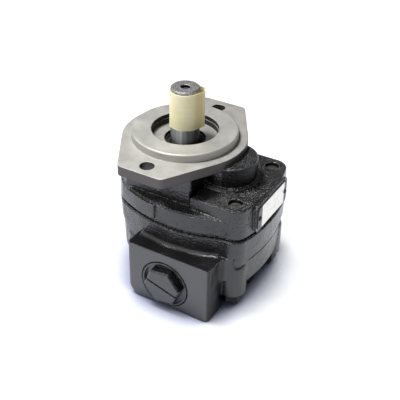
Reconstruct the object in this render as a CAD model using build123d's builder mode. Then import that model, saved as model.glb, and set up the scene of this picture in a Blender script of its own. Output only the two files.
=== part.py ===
from build123d import *
import os
from math import atan, cos, pi, sin, sqrt, tan

# A hydraulic gear motor with a two-bolt flange, in millimetres.
# The origin lies on the drive shaft's axis in the mounting face. +Z runs out along the shaft,
# the two mounting holes lie along X, and the idler gear lies towards -Y.

# Mounting flange and its pilot
flange_t = 8.0
flange_round_d = 97.0
flange_length = 128.4
flange_end_w = 37.0
flange_corner_r = 5.0
mount_hole_spacing = 106.4
mount_hole_d = 11.1
pilot_d = 82.55
pilot_h = 6.35
pilot_chamfer = 0.8
recess_d = 52.0
recess_floor_depth = 1.9
snap_groove_w = 1.6
snap_groove_depth = 1.1
snap_groove_below_pilot = 2.4

# Drive shaft end, with its key and the sleeve that protects it in transport
shaft_d = 22.22
shaft_reach = 41.3
shaft_end_chamfer = 0.8
end_thread_d = 6.53
end_thread_depth = 20.0
end_thread_mouth = 0.9
key_w = 6.35
height_over_key = 25.0
key_length = 25.0
key_bottom = 11.0
key_angle = -59.0
key_side_clearance = 0.02
key_end_clearance = 0.1
protector_wall = 0.8
protector_bottom = 9.4
protector_length = 29.9
protector_clearance = 0.15

# Gears: two equal involute gears in mesh
gear_centres = 40.0
gear_teeth = 12
pressure_angle = 25.0
addendum_share = 1.0
dedendum_share = 1.2
backlash = 0.16
root_fillet = 0.7
gear_w = 25.0
gear_end_clearance = 0.05
gear_tip_clearance = 0.06

# Bearings, thrust plates and seals round the gears
journal_clearance = 0.04
bearing_wall = 3.15
front_bearing_length = 28.0
rear_bearing_length = 24.0
bearing_end_room = 2.0
plate_t = 6.0
plate_side_clearance = 0.05
plate_bore_clearance = 0.2
plate_seal_d = 36.0
plate_seal_w = 2.0
plate_seal_t = 1.6
body_seal_offset = 2.2
body_seal_w = 2.4
body_seal_t = 2.0
seal_groove_clearance = 0.1

# Shaft seal
seal_od = 32.0
seal_w = 7.0
seal_set_back = 2.6
seal_case_wall = 1.0
seal_window_r = 14.2
seal_lip_t = 1.9
seal_lip_clearance = 0.05
seal_spring_wire_d = 1.5
seal_cavity_clearance = 1.3

# Joint outline that both castings share
cover_depth = 50.0
end_round_r = 51.0
body_w = 102.4
widest_y = -18.1
shaft_side_bow_r = 110.0
idler_side_bow_r = 83.0
flank_w = 85.2
flank_blend_r = 18.0
idler_end_y = -77.3
idler_end_bow_r = 130.0
body_corner_r = 12.0
casting_draft = 2.4
joint_groove_depth = 3.0
joint_groove_half_w = 1.2
joint_rim_bevel = 0.9

# Front cover above the joint
ledge_depth = 33.5
ledge_bevel = 1.2
shoulder_depth = 24.0
neck_d = 97.6
neck_w = 79.0
neck_front_y = -28.4
neck_corner_r = 3.0
boss_d = 42.0
boss_top_depth = 5.5
cast_edge_r = 1.5
boss_foot_r = 2.5
boss_root = 2.5
number_pad_proud = 0.8
number_pad_h = 12.0
number_pad_top_depth = 34.6
number_pad_from_angle = 146.0
number_pad_to_angle = 184.0
plate_pad_w = 52.0
plate_pad_h = 23.0
plate_pad_face_y = -76.5
plate_pad_top_depth = 25.5
plate_pad_corner_r = 4.0
plate_pad_root = 6.0

# Gear housing below the joint, with the port block at its rear
skirt_depth = 96.0
skirt_edge_r = 2.5
rear_depth = 117.0
block_top_depth = 67.0
block_w = 126.0
block_to_shaft_side = 33.2
block_to_idler_side = 38.5
block_round_corner_r = 10.0
block_corner_r = 3.5
block_foot_share = 0.2
block_edge_r = 3.0
web_r = 9.0
web_bottom_depth = 88.0
web_root = 3.0
rear_boss_d = 48.0
head_pocket_d = 27.0
parting_step = 0.9

# Ports, one on each side, each closed with a plug
port_depth = 95.0
port_drill_d = 25.0
port_drill_length = 21.0
port_spotface_d = 41.2
port_spotface_depth = 3.5
port_seal_seat_d = 29.6
port_seal_seat_depth = 3.0
passage_d = 19.0
passage_inner_x = 24.0
passage_w = 15.0
passage_outer_x = 34.0
passage_below_plate = 3.0
plug_flange_gap = 1.0
plug_rim_w = 1.4
plug_moat_depth = 2.5
plug_stem_clearance = 0.1
plug_stem_length = 14.0
plug_head_af = 28.0
plug_head_h = 5.0
plug_head_chamfer = 1.2
plug_head_turn = 7.0
plug_slot_w = 1.6
plug_slot_depth = 1.8
plug_slot_turn = -17.0
plug_seal_clearance = 0.1

# Screws and pins
bolt_spacing_x = 60.8
bolt_spacing_y = 82.2
bolt_d = 11.11
bolt_hole_d = 11.9
bolt_thread_clearance = 0.05
bolt_tip_chamfer = 1.2
bolt_below_shoulder = 2.5
bolt_head_af = 15.9
bolt_head_h = 7.1
bolt_head_chamfer = 0.8
bolt_boss_d = 23.0
bolt_boss_top_depth = 73.0
bolt_boss_top_r = 6.0
bolt_boss_depth = 103.6
washer_d = 19.0
washer_t = 2.2
blind_hole_room = 3.0
dowel_d = 8.0
dowel_length = 16.0
dowel_chamfer = 0.6
dowel_spacing = 82.0
dowel_clearance = 0.02
dowel_end_room = 1.0

# Name plate, left bare
name_plate_w = 48.0
name_plate_h = 19.0
name_plate_t = 0.8
name_plate_corner_r = 3.0
rivet_spacing = 42.4
rivet_d = 2.6
rivet_head_d = 3.6
rivet_head_h = 0.9
rivet_head_r = 0.7
rivet_length = 5.0
rivet_clearance = 0.1

# How finely the source follows a curve, and how near two places must be to count as one
foot_steps = 5
hexagon_sides = 6
tolerance = 0.001

# Places that follow from the sizes above
joint_z = -cover_depth
cover_groove_z = joint_z + joint_groove_half_w
cover_edge_z = cover_groove_z + joint_rim_bevel
housing_groove_z = joint_z - joint_groove_half_w
housing_edge_z = housing_groove_z - joint_rim_bevel
mid_y = -gear_centres / 2
idler_y = -gear_centres
pitch_r = gear_centres / 2
gear_module = gear_centres / gear_teeth
tip_r = pitch_r + addendum_share * gear_module
root_r = pitch_r - dedendum_share * gear_module
base_r = pitch_r * cos(pressure_angle * pi / 180)
chamber_r = tip_r + gear_tip_clearance
gear_top_z = joint_z - plate_t - gear_end_clearance
gear_bottom_z = gear_top_z - gear_w
rear_plate_top_z = gear_bottom_z - gear_end_clearance
chamber_floor_z = rear_plate_top_z - plate_t
journal_r = shaft_d / 2
bearing_bore_r = journal_r + journal_clearance
bearing_r = bearing_bore_r + bearing_wall
front_bearing_top_z = joint_z + front_bearing_length
front_bore_top_z = front_bearing_top_z + bearing_end_room
rear_bore_floor_z = chamber_floor_z - rear_bearing_length - bearing_end_room
rear_journal_end_z = chamber_floor_z - rear_bearing_length
seal_bore_floor_z = -recess_floor_depth - seal_set_back - seal_w
keyway_floor = height_over_key - shaft_d / 2 - key_w
head_seat_z = -bolt_boss_depth - washer_t
bolt_tip_z = -shoulder_depth - bolt_below_shoulder
body_seal_inner_d = 2 * (chamber_r + body_seal_offset)
body_seal_outer_d = body_seal_inner_d + 2 * body_seal_w
block_low_y = mid_y - block_to_idler_side
block_high_y = mid_y + block_to_shaft_side
block_h = rear_depth - block_top_depth
block_foot_r = block_foot_share * (block_top_depth - cover_depth)


def joint_outline():
    """The outline of the joint between the two castings, seen along the shaft."""
    shaft_bow_x = body_w / 2 - shaft_side_bow_r
    idler_bow_x = body_w / 2 - idler_side_bow_r
    # Where the shaft end's round meets the long bow of the side
    reach = sqrt(shaft_bow_x**2 + widest_y**2)
    along = (reach**2 + end_round_r**2 - shaft_side_bow_r**2) / (2 * reach)
    across = sqrt(end_round_r**2 - along**2)
    meet_x = (along * shaft_bow_x + across * widest_y) / reach
    meet_y = (along * widest_y - across * shaft_bow_x) / reach
    meet = (meet_x, meet_y)
    # Where the bow runs into the straight flank, and the flank into the idler end
    flank_x = flank_w / 2
    flank_y = widest_y - sqrt(idler_side_bow_r**2 - (flank_x - idler_bow_x) ** 2)
    end_centre_y = idler_end_y + idler_end_bow_r
    end_y = end_centre_y - sqrt(idler_end_bow_r**2 - flank_x**2)
    with BuildSketch() as outline:
        with BuildLine():
            RadiusArc((0, end_round_r), meet, end_round_r)
            RadiusArc(meet, (body_w / 2, widest_y), shaft_side_bow_r)
            RadiusArc((body_w / 2, widest_y), (flank_x, flank_y), idler_side_bow_r)
            Line((flank_x, flank_y), (flank_x, end_y))
            RadiusArc((flank_x, end_y), (0, idler_end_y), idler_end_bow_r)
            mirror(about=Plane.YZ)
        make_face()
        ends = outline.vertices().filter_by(lambda v: abs(v.Y - end_y) < tolerance)
        fillet(ends, body_corner_r)
        flanks = outline.vertices().filter_by(lambda v: abs(v.Y - flank_y) < tolerance)
        fillet(flanks, flank_blend_r)
        shoulders = outline.vertices().filter_by(lambda v: abs(v.Y - meet_y) < tolerance)
        fillet(shoulders, body_corner_r)
    return outline.sketch


def gear_blank(z, turn):
    """The toothed outline of a gear at height z, with one tooth gap turned from +X by turn."""
    points = []
    flank_steps = 5
    reach_r = tip_r + gear_module / 4
    for step in range(flank_steps + 1):
        radius = base_r + (reach_r - base_r) * step / flank_steps
        # The involute's own angle at this radius, less its angle on the pitch circle
        roll = sqrt((radius / base_r) ** 2 - 1)
        pitch_roll = sqrt((pitch_r / base_r) ** 2 - 1)
        spread = roll - atan(roll) - pitch_roll + atan(pitch_roll)
        half_gap = pi / (2 * gear_teeth) + backlash / (4 * pitch_r) + spread
        points.append((radius * cos(half_gap), radius * sin(half_gap)))
    start_x, start_y = points[0]
    foot = (start_x * root_r / base_r, start_y * root_r / base_r)
    with BuildSketch() as gap:
        with BuildLine():
            Spline(points)
            Line(points[0], foot)
            mirror(about=Plane.XZ)
            ThreePointArc(foot, (root_r, 0), (foot[0], -foot[1]))
            Line(points[-1], (points[-1][0], -points[-1][1]))
        make_face()
        feet = gap.vertices().filter_by(lambda v: abs(abs(v.Y) - foot[1]) < tolerance)
        fillet(feet, root_fillet)
    with BuildSketch(Plane.XY.offset(z)) as blank:
        Circle(tip_r)
        with PolarLocations(0, gear_teeth, start_angle=turn):
            add(gap.sketch, mode=Mode.SUBTRACT)
    return blank.sketch


os.makedirs("parts", exist_ok=True)
joint_face = joint_outline()
joint_plane = Plane.XY.offset(joint_z)
idler_place = Location((0, idler_y))
gear_places = [Location((0, 0)), idler_place]
bolt_middle = Location((0, mid_y))
dowel_places = [Location((-dowel_spacing / 2, mid_y)), Location((dowel_spacing / 2, mid_y))]
key_plane = Plane.XY.rotated((0, 0, key_angle))
plate_plane = Plane((0, plate_pad_face_y, 0), x_dir=(1, 0, 0), z_dir=(0, -1, 0))
plate_place = Location((0, -plate_pad_top_depth - plate_pad_h / 2))
# Each port looks out along X from its own side of the port block
left_port = Plane((-block_w / 2, mid_y, -port_depth), x_dir=(0, -1, 0), z_dir=(-1, 0, 0))
right_port = Plane((block_w / 2, mid_y, -port_depth), x_dir=(0, 1, 0), z_dir=(1, 0, 0))


def draft_at(z):
    """How far the casting's draft draws a wall in at a height, counted from the joint."""
    return abs(z - joint_z) * tan(casting_draft * pi / 180)


def cast_wall(sketch, from_z, from_inset, to_z, to_inset):
    """A block between two heights, with the sketch drawn in by an inset at each, on top of the draft."""
    with BuildPart() as block:
        with BuildSketch(Plane.XY.offset(from_z)):
            add(sketch)
            offset(amount=-draft_at(from_z) - from_inset, kind=Kind.INTERSECTION)
        with BuildSketch(Plane.XY.offset(to_z)):
            add(sketch)
            offset(amount=-draft_at(to_z) - to_inset, kind=Kind.INTERSECTION)
        loft(ruled=True)
    return block.part


# The shoulder is the idler end of the joint outline, between its straight flanks
with BuildSketch() as shoulder:
    add(joint_face)
    with Locations((0, neck_front_y)):
        Rectangle(flank_w, neck_d, align=(Align.CENTER, Align.MAX), mode=Mode.INTERSECT)

# Front cover: an iron casting that carries the flange, the shaft seal and the front bearings
with BuildPart() as front_cover:
    # The joint's edge is cut back on both castings, which leaves a groove round the motor
    add(cast_wall(joint_face, joint_z, joint_groove_depth, cover_groove_z, joint_groove_depth))
    add(cast_wall(joint_face, cover_groove_z, joint_rim_bevel, cover_edge_z, 0))
    add(cast_wall(joint_face, cover_edge_z, 0, -ledge_depth - ledge_bevel, 0))
    add(cast_wall(joint_face, -ledge_depth - ledge_bevel, 0, -ledge_depth, ledge_bevel))
    add(cast_wall(shoulder.sketch, cover_edge_z, 0, -shoulder_depth, 0))
    shoulder_top = front_cover.faces().sort_by(Axis.Z)[-1]
    fillet(shoulder_top.edges().filter_by(lambda e: (e @ 0.5).Y < neck_front_y), cast_edge_r)
    # Neck under the flange: a round with flat sides, cut straight towards the idler
    with BuildSketch(joint_plane) as neck:
        Circle(neck_d / 2)
        with Locations((0, neck_front_y)):
            Rectangle(neck_w, neck_d * 2, align=(Align.CENTER, Align.MIN), mode=Mode.INTERSECT)
        fillet(neck.vertices().group_by(Axis.Y)[0], neck_corner_r)
    extrude(amount=cover_depth - flange_t / 2)
    # Boss over the front bearing of the idler
    with BuildSketch(joint_plane):
        with Locations(idler_place):
            Circle(boss_d / 2)
    extrude(amount=cover_depth - boss_top_depth)
    boss_rim = front_cover.edges().filter_by(lambda e: abs((e @ 0.5).Z + boss_top_depth) < tolerance)
    fillet(boss_rim.sort_by(Axis.Y)[0], cast_edge_r)
    # Hollow foot round the boss
    with BuildSketch(Plane.YZ) as foot:
        with BuildLine():
            foot_start = (idler_y - boss_d / 2, -shoulder_depth + boss_foot_r)
            foot_end = (idler_y - boss_d / 2 - boss_foot_r, -shoulder_depth)
            RadiusArc(foot_start, foot_end, -boss_foot_r)
            Polyline(
                foot_end,
                (foot_end[0], foot_end[1] - boss_foot_r),
                (foot_start[0] + boss_foot_r, foot_end[1] - boss_foot_r),
                (foot_start[0] + boss_foot_r, foot_start[1]),
                foot_start,
            )
        make_face()
    revolve(axis=Axis((0, idler_y, 0), (0, 0, 1)))
    # Flange plate: a round drawn out to a cut end round each mounting hole
    with BuildSketch() as flange:
        Circle(flange_round_d / 2)
        Rectangle(flange_length, flange_end_w)
        make_hull()
        fillet(flange.vertices().group_by(Axis.X)[0], flange_corner_r)
        fillet(flange.vertices().group_by(Axis.X)[-1], flange_corner_r)
    extrude(amount=-flange_t)
    with BuildSketch():
        Circle(pilot_d / 2)
    extrude(amount=pilot_h)
    chamfer(front_cover.edges().group_by(Axis.Z)[-1], pilot_chamfer)
    # Raised pad for a casting number, left bare
    with BuildSketch(Plane.XY.offset(-number_pad_top_depth)):
        add(joint_face)
        offset(amount=number_pad_proud)
        with BuildLine():
            PolarLine((0, 0), block_w, number_pad_from_angle)
            PolarLine((0, 0), block_w, number_pad_to_angle)
            Line(
                PolarLine((0, 0), block_w, number_pad_from_angle, mode=Mode.PRIVATE) @ 1,
                PolarLine((0, 0), block_w, number_pad_to_angle, mode=Mode.PRIVATE) @ 1,
            )
        make_face(mode=Mode.INTERSECT)
    extrude(amount=-number_pad_h)
    # Flat pad for the name plate on the idler end
    with BuildSketch(plate_plane) as plate_pad:
        with Locations(plate_place):
            RectangleRounded(plate_pad_w, plate_pad_h, plate_pad_corner_r)
    extrude(amount=-plate_pad_root)
    extrude(plate_pad.sketch, amount=plate_pad_root, mode=Mode.SUBTRACT)
    with BuildSketch(plate_plane):
        with Locations(plate_place):
            with GridLocations(rivet_spacing, 0, 2, 1):
                Circle(rivet_d / 2)
    extrude(amount=name_plate_t - rivet_length, mode=Mode.SUBTRACT)
    # Stepped bore for the outboard ring groove, the seal, the shaft and its bearing
    recess_r = recess_d / 2
    groove_top_z = pilot_h - snap_groove_below_pilot
    passage_r = shaft_d / 2 + seal_cavity_clearance
    with BuildSketch(Plane.XZ):
        with BuildLine():
            Polyline(
                (0, pilot_h),
                (recess_r, pilot_h),
                (recess_r, groove_top_z),
                (recess_r + snap_groove_depth, groove_top_z),
                (recess_r + snap_groove_depth, groove_top_z - snap_groove_w),
                (recess_r, groove_top_z - snap_groove_w),
                (recess_r, -recess_floor_depth),
                (seal_od / 2, -recess_floor_depth),
                (seal_od / 2, seal_bore_floor_z),
                (passage_r, seal_bore_floor_z),
                (passage_r, front_bore_top_z),
                (bearing_r, front_bore_top_z),
                (bearing_r, joint_z),
                (0, joint_z),
                close=True,
            )
        make_face()
    revolve(axis=Axis.Z, mode=Mode.SUBTRACT)
    with BuildSketch(joint_plane):
        with Locations(idler_place):
            Circle(bearing_r)
    extrude(amount=front_bore_top_z - joint_z, mode=Mode.SUBTRACT)
    with BuildSketch(joint_plane):
        with Locations(bolt_middle):
            with GridLocations(bolt_spacing_x, bolt_spacing_y, 2, 2):
                Circle(bolt_d / 2 + bolt_thread_clearance)
    extrude(amount=cover_depth - shoulder_depth + blind_hole_room, mode=Mode.SUBTRACT)
    with BuildSketch(joint_plane):
        with Locations(dowel_places):
            Circle(dowel_d / 2 + dowel_clearance)
    extrude(amount=dowel_length / 2 + dowel_end_room, mode=Mode.SUBTRACT)
    # Groove round both gears for the joint's seal
    with BuildSketch(joint_plane):
        with Locations(bolt_middle):
            SlotCenterToCenter(gear_centres, body_seal_outer_d, rotation=90)
            SlotCenterToCenter(gear_centres, body_seal_inner_d, rotation=90, mode=Mode.SUBTRACT)
    extrude(amount=body_seal_t, mode=Mode.SUBTRACT)
    with GridLocations(mount_hole_spacing, 0, 2, 1):
        Hole(mount_hole_d / 2, flange_t)
front_cover.part.label = "front_cover"
export_step(front_cover.part, "parts/front_cover.step")

# Port block, seen from the side, with its upright edges rounded
with BuildPart() as port_block:
    with BuildSketch(Plane.YZ) as block:
        with Locations((block_low_y, -rear_depth)):
            Rectangle(block_high_y - block_low_y, block_h, align=(Align.MIN, Align.MIN))
        fillet(block.vertices().group_by(Axis.X)[0].sort_by(Axis.Y)[0], block_corner_r)
        fillet(block.vertices().group_by(Axis.X)[-1].sort_by(Axis.Y)[0], block_round_corner_r)
    extrude(amount=block_w / 2, both=True)
    fillet(port_block.edges().filter_by(Axis.Z), block_edge_r)

# Hollow foot of the housing's wall on top of the port block, in straight steps of its curve
with BuildSketch() as foot_outline:
    add(joint_face)
    with Locations((0, block_low_y)):
        Rectangle(body_w, block_high_y - block_low_y, align=(Align.CENTER, Align.MIN), mode=Mode.INTERSECT)

with BuildPart() as block_foot:
    for step in range(foot_steps):
        low_turn = pi / 2 * step / foot_steps
        high_turn = pi / 2 * (step + 1) / foot_steps
        add(
            cast_wall(
                foot_outline.sketch,
                -block_top_depth + block_foot_r * (1 - cos(low_turn)),
                -block_foot_r * (1 - sin(low_turn)),
                -block_top_depth + block_foot_r * (1 - cos(high_turn)),
                -block_foot_r * (1 - sin(high_turn)),
            )
        )
    with Locations((0, (block_low_y + block_high_y) / 2, -block_top_depth)):
        Box(
            block_w - 2 * block_edge_r,
            block_high_y - block_low_y - 2 * block_edge_r,
            2 * block_foot_r,
            mode=Mode.INTERSECT,
        )


def web_section(z):
    """The hollow corner that joins the right flank to the port block's idler side, at a height."""
    wall_x = flank_w / 2 - draft_at(z) - parting_step
    with BuildSketch(Plane.XY.offset(z)) as web:
        with BuildLine():
            RadiusArc((wall_x, block_low_y - web_r), (wall_x + web_r, block_low_y), web_r)
            Polyline(
                (wall_x + web_r, block_low_y),
                (wall_x + web_r, block_low_y + web_root),
                (wall_x - web_root, block_low_y + web_root),
                (wall_x - web_root, block_low_y - web_r),
                (wall_x, block_low_y - web_r),
            )
        make_face()
    return web.sketch


with BuildPart() as block_webs:
    add(web_section(-block_top_depth))
    add(web_section(-web_bottom_depth))
    loft(ruled=True)
    mirror(about=Plane.YZ)

# Bosses for the four bolts, which swell out of the wall
with BuildPart() as bolt_bosses:
    with BuildSketch(Plane.XY.offset(-bolt_boss_depth)):
        with Locations(bolt_middle):
            with GridLocations(bolt_spacing_x, bolt_spacing_y, 2, 2):
                Circle(bolt_boss_d / 2)
    extrude(amount=bolt_boss_depth - bolt_boss_top_depth)
    fillet(bolt_bosses.edges().group_by(Axis.Z)[-1], bolt_boss_top_r)

# Gear housing: an iron casting with the gear chamber, the rear bearings and the port block
with BuildPart() as gear_housing:
    # Below the mould's parting line the wall steps in
    add(cast_wall(joint_face, housing_edge_z, parting_step, -skirt_depth, parting_step))
    fillet(gear_housing.edges().group_by(Axis.Z)[0], skirt_edge_r)
    add(cast_wall(joint_face, housing_edge_z, 0, -block_top_depth, 0))
    add(cast_wall(joint_face, housing_groove_z, joint_rim_bevel, housing_edge_z, 0))
    add(cast_wall(joint_face, joint_z, joint_groove_depth, housing_groove_z, joint_groove_depth))
    add(port_block.part)
    add(block_foot.part)
    add(block_webs.part)
    # Rear boss round the two blind bearing bores
    with BuildSketch(Plane.XY.offset(-rear_depth)):
        with Locations(bolt_middle):
            SlotCenterToCenter(gear_centres, rear_boss_d, rotation=90)
    extrude(amount=rear_depth - skirt_depth + boss_root)
    # Bosses for the four bolts, and room for the bolts' heads beside the block
    add(bolt_bosses.part)
    with BuildSketch(Plane.XY.offset(-bolt_boss_depth)):
        with Locations(bolt_middle):
            with GridLocations(bolt_spacing_x, bolt_spacing_y, 2, 2):
                Circle(head_pocket_d / 2)
    extrude(amount=bolt_boss_depth - rear_depth, mode=Mode.SUBTRACT)
    # Stepped ports, drilled through to the cored passages
    for port in (left_port, right_port):
        with Locations(port):
            Hole(port_spotface_d / 2, port_spotface_depth)
            Hole(port_seal_seat_d / 2, port_spotface_depth + port_seal_seat_depth)
            Hole(port_drill_d / 2, port_drill_length)
            Hole(passage_d / 2, block_w / 2 - passage_inner_x)
    # Cored passages: across the mesh of the gears, then down to the ports
    with BuildSketch(Plane.XY.offset(gear_top_z - passage_below_plate)):
        with Locations(bolt_middle):
            Rectangle(2 * passage_outer_x, passage_w)
    extrude(amount=-(gear_w - 2 * passage_below_plate), mode=Mode.SUBTRACT)
    with BuildSketch(Plane.XY.offset(gear_bottom_z + passage_below_plate)):
        with Locations(bolt_middle):
            with GridLocations(passage_inner_x + passage_outer_x, 0, 2, 1):
                Rectangle(passage_outer_x - passage_inner_x, passage_w)
    extrude(amount=-(port_depth + gear_bottom_z + passage_below_plate), mode=Mode.SUBTRACT)
    # Gear chamber, and the blind bores for the rear bearings below it
    with BuildSketch(joint_plane):
        with Locations(gear_places):
            Circle(chamber_r)
    extrude(amount=chamber_floor_z - joint_z, mode=Mode.SUBTRACT)
    with BuildSketch(joint_plane):
        with Locations(gear_places):
            Circle(bearing_r)
    extrude(amount=rear_bore_floor_z - joint_z, mode=Mode.SUBTRACT)
    with BuildSketch(joint_plane):
        with Locations(bolt_middle):
            with GridLocations(bolt_spacing_x, bolt_spacing_y, 2, 2):
                Circle(bolt_hole_d / 2)
    extrude(amount=cover_depth - bolt_boss_depth, mode=Mode.SUBTRACT)
    with BuildSketch(joint_plane):
        with Locations(dowel_places):
            Circle(dowel_d / 2 + dowel_clearance)
    extrude(amount=-dowel_length / 2 - dowel_end_room, mode=Mode.SUBTRACT)
gear_housing.part.label = "gear_housing"
export_step(gear_housing.part, "parts/gear_housing.step")

# Drive shaft: one forging with its gear, a keyway and a tapped hole in the end
with BuildPart() as drive_gear_shaft:
    with BuildSketch(Plane.XY.offset(rear_journal_end_z)):
        Circle(journal_r)
    extrude(amount=shaft_reach - rear_journal_end_z)
    chamfer(drive_gear_shaft.edges(), shaft_end_chamfer)
    add(gear_blank(gear_bottom_z, 180 / gear_teeth))
    extrude(amount=gear_w)
    with BuildSketch(key_plane.offset(key_bottom - key_end_clearance)):
        with Locations((keyway_floor, 0)):
            Rectangle(key_w, key_w + 2 * key_side_clearance, align=(Align.MIN, Align.CENTER))
    extrude(amount=key_length + 2 * key_end_clearance, mode=Mode.SUBTRACT)
    with Locations((0, 0, shaft_reach)):
        CounterSinkHole(end_thread_d / 2, end_thread_d / 2 + end_thread_mouth, end_thread_depth)
drive_gear_shaft.part.label = "drive_gear_shaft"
export_step(drive_gear_shaft.part, "parts/drive_gear_shaft.step")

# Idler: the second gear with its two journals
with BuildPart() as idler_gear_shaft:
    with BuildSketch(Plane.XY.offset(rear_journal_end_z)):
        with Locations(idler_place):
            Circle(journal_r)
    extrude(amount=front_bearing_top_z - rear_journal_end_z)
    chamfer(idler_gear_shaft.edges(), shaft_end_chamfer)
    with BuildSketch(Plane.XY.offset(gear_bottom_z)):
        with Locations(idler_place):
            add(gear_blank(0, 0))
    extrude(amount=gear_w)
idler_gear_shaft.part.label = "idler_gear_shaft"
export_step(idler_gear_shaft.part, "parts/idler_gear_shaft.step")

# Square key
with BuildPart() as shaft_key:
    with BuildSketch(key_plane.offset(key_bottom)):
        with Locations((keyway_floor, 0)):
            Rectangle(key_w, key_w, align=(Align.MIN, Align.CENTER))
    extrude(amount=key_length)
shaft_key.part.label = "shaft_key"
export_step(shaft_key.part, "parts/shaft_key.step")

# Thin plastic sleeve over the shaft and its key, for transport
with BuildPart() as shaft_protector:
    with BuildSketch(key_plane.offset(protector_bottom)) as sleeve:
        Circle(journal_r)
        with Locations((keyway_floor, 0)):
            Rectangle(key_w, key_w, align=(Align.MIN, Align.CENTER))
        make_hull()
        offset(amount=protector_clearance)
        inside = sleeve.sketch_local
        offset(amount=protector_wall)
        add(inside, mode=Mode.SUBTRACT)
    extrude(amount=protector_length)
shaft_protector.part.label = "shaft_protector"
export_step(shaft_protector.part, "parts/shaft_protector.step")

# Shaft seal: a steel case, a rubber lip moulded into it and a spring round the lip
seal_top_z = seal_bore_floor_z + seal_w
case_inner_r = seal_od / 2 - seal_case_wall
lip_r = journal_r + seal_lip_clearance
lip_back_r = lip_r + seal_lip_t
lip_front_r = lip_back_r - seal_spring_wire_d / 2
with BuildPart() as seal_case:
    with BuildSketch(Plane.XZ):
        with BuildLine():
            Polyline(
                (seal_od / 2, seal_bore_floor_z),
                (seal_od / 2, seal_top_z),
                (seal_window_r, seal_top_z),
                (seal_window_r, seal_top_z - seal_case_wall),
                (case_inner_r, seal_top_z - seal_case_wall),
                (case_inner_r, seal_bore_floor_z),
                close=True,
            )
        make_face()
    revolve(axis=Axis.Z)
seal_case.part.label = "seal_case"
export_step(seal_case.part, "parts/seal_case.step")

with BuildPart() as seal_lip:
    with BuildSketch(Plane.XZ) as lip_section:
        with BuildLine():
            Polyline(
                (case_inner_r, seal_top_z - seal_case_wall),
                (lip_front_r, seal_top_z - seal_case_wall),
                (lip_r, seal_top_z - seal_w / 2),
                (lip_front_r, seal_bore_floor_z + seal_case_wall),
                (lip_back_r, seal_bore_floor_z + seal_case_wall),
                (lip_back_r, seal_top_z - 2 * seal_case_wall),
                (case_inner_r, seal_top_z - 2 * seal_case_wall),
                close=True,
            )
        make_face()
    revolve(axis=Axis.Z)
seal_lip.part.label = "seal_lip"
export_step(seal_lip.part, "parts/seal_lip.step")

with BuildPart() as seal_spring:
    with BuildSketch(Plane.XZ):
        with Locations((lip_back_r + seal_spring_wire_d / 2, seal_bore_floor_z + seal_w / 3)):
            Circle(seal_spring_wire_d / 2)
    revolve(axis=Axis.Z)
seal_spring.part.label = "seal_spring"
export_step(seal_spring.part, "parts/seal_spring.step")


def bearing(place, low, length):
    """A plain bearing bush that stands on height low."""
    with BuildPart() as bush:
        with BuildSketch(Plane.XY.offset(low)):
            with Locations(place):
                Circle(bearing_r)
                Circle(bearing_bore_r, mode=Mode.SUBTRACT)
        extrude(amount=length)
    return bush


drive_front_bearing = bearing(gear_places[0], joint_z, front_bearing_length)
drive_front_bearing.part.label = "drive_front_bearing"
export_step(drive_front_bearing.part, "parts/drive_front_bearing.step")

idler_front_bearing = bearing(gear_places[1], joint_z, front_bearing_length)
idler_front_bearing.part.label = "idler_front_bearing"
export_step(idler_front_bearing.part, "parts/idler_front_bearing.step")

drive_rear_bearing = bearing(gear_places[0], rear_journal_end_z, rear_bearing_length)
drive_rear_bearing.part.label = "drive_rear_bearing"
export_step(drive_rear_bearing.part, "parts/drive_rear_bearing.step")

idler_rear_bearing = bearing(gear_places[1], rear_journal_end_z, rear_bearing_length)
idler_rear_bearing.part.label = "idler_rear_bearing"
export_step(idler_rear_bearing.part, "parts/idler_rear_bearing.step")


def plate_seal_rings():
    """The two rings, round the two journals, that seal the back of a thrust plate."""
    with BuildSketch() as rings:
        with Locations(gear_places):
            Circle(plate_seal_d / 2)
            Circle(plate_seal_d / 2 - plate_seal_w, mode=Mode.SUBTRACT)
    return rings.sketch


def thrust_plate(low, back):
    """A bronze plate that fills the chamber at height low, grooved on its back face."""
    with BuildPart() as plate:
        with BuildSketch(Plane.XY.offset(low)):
            with Locations(gear_places):
                Circle(chamber_r - plate_side_clearance)
            with Locations(gear_places):
                Circle(journal_r + plate_bore_clearance, mode=Mode.SUBTRACT)
        extrude(amount=plate_t)
        with BuildSketch(Plane.XY.offset(back)):
            add(plate_seal_rings())
        extrude(amount=plate_seal_t, both=True, mode=Mode.SUBTRACT)
    return plate


# Thrust plates at both faces of the gears, with a seal ring round each journal
front_thrust_plate = thrust_plate(joint_z - plate_t, joint_z)
front_thrust_plate.part.label = "front_thrust_plate"
export_step(front_thrust_plate.part, "parts/front_thrust_plate.step")

rear_thrust_plate = thrust_plate(chamber_floor_z, chamber_floor_z)
rear_thrust_plate.part.label = "rear_thrust_plate"
export_step(rear_thrust_plate.part, "parts/rear_thrust_plate.step")

with BuildPart() as thrust_plate_seals:
    with BuildSketch(joint_plane, Plane.XY.offset(chamber_floor_z + plate_seal_t)):
        add(plate_seal_rings())
    extrude(amount=-plate_seal_t)
thrust_plate_seals.part.label = "thrust_plate_seals"
export_step(thrust_plate_seals.part, "parts/thrust_plate_seals.step")

# Seal in the joint between cover and housing
with BuildPart() as body_seal:
    with BuildSketch(joint_plane):
        with Locations(bolt_middle):
            outer_d = body_seal_outer_d - 2 * seal_groove_clearance
            inner_d = body_seal_inner_d + 2 * seal_groove_clearance
            SlotCenterToCenter(gear_centres, outer_d, rotation=90)
            SlotCenterToCenter(gear_centres, inner_d, rotation=90, mode=Mode.SUBTRACT)
    extrude(amount=body_seal_t)
body_seal.part.label = "body_seal"
export_step(body_seal.part, "parts/body_seal.step")

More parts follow.
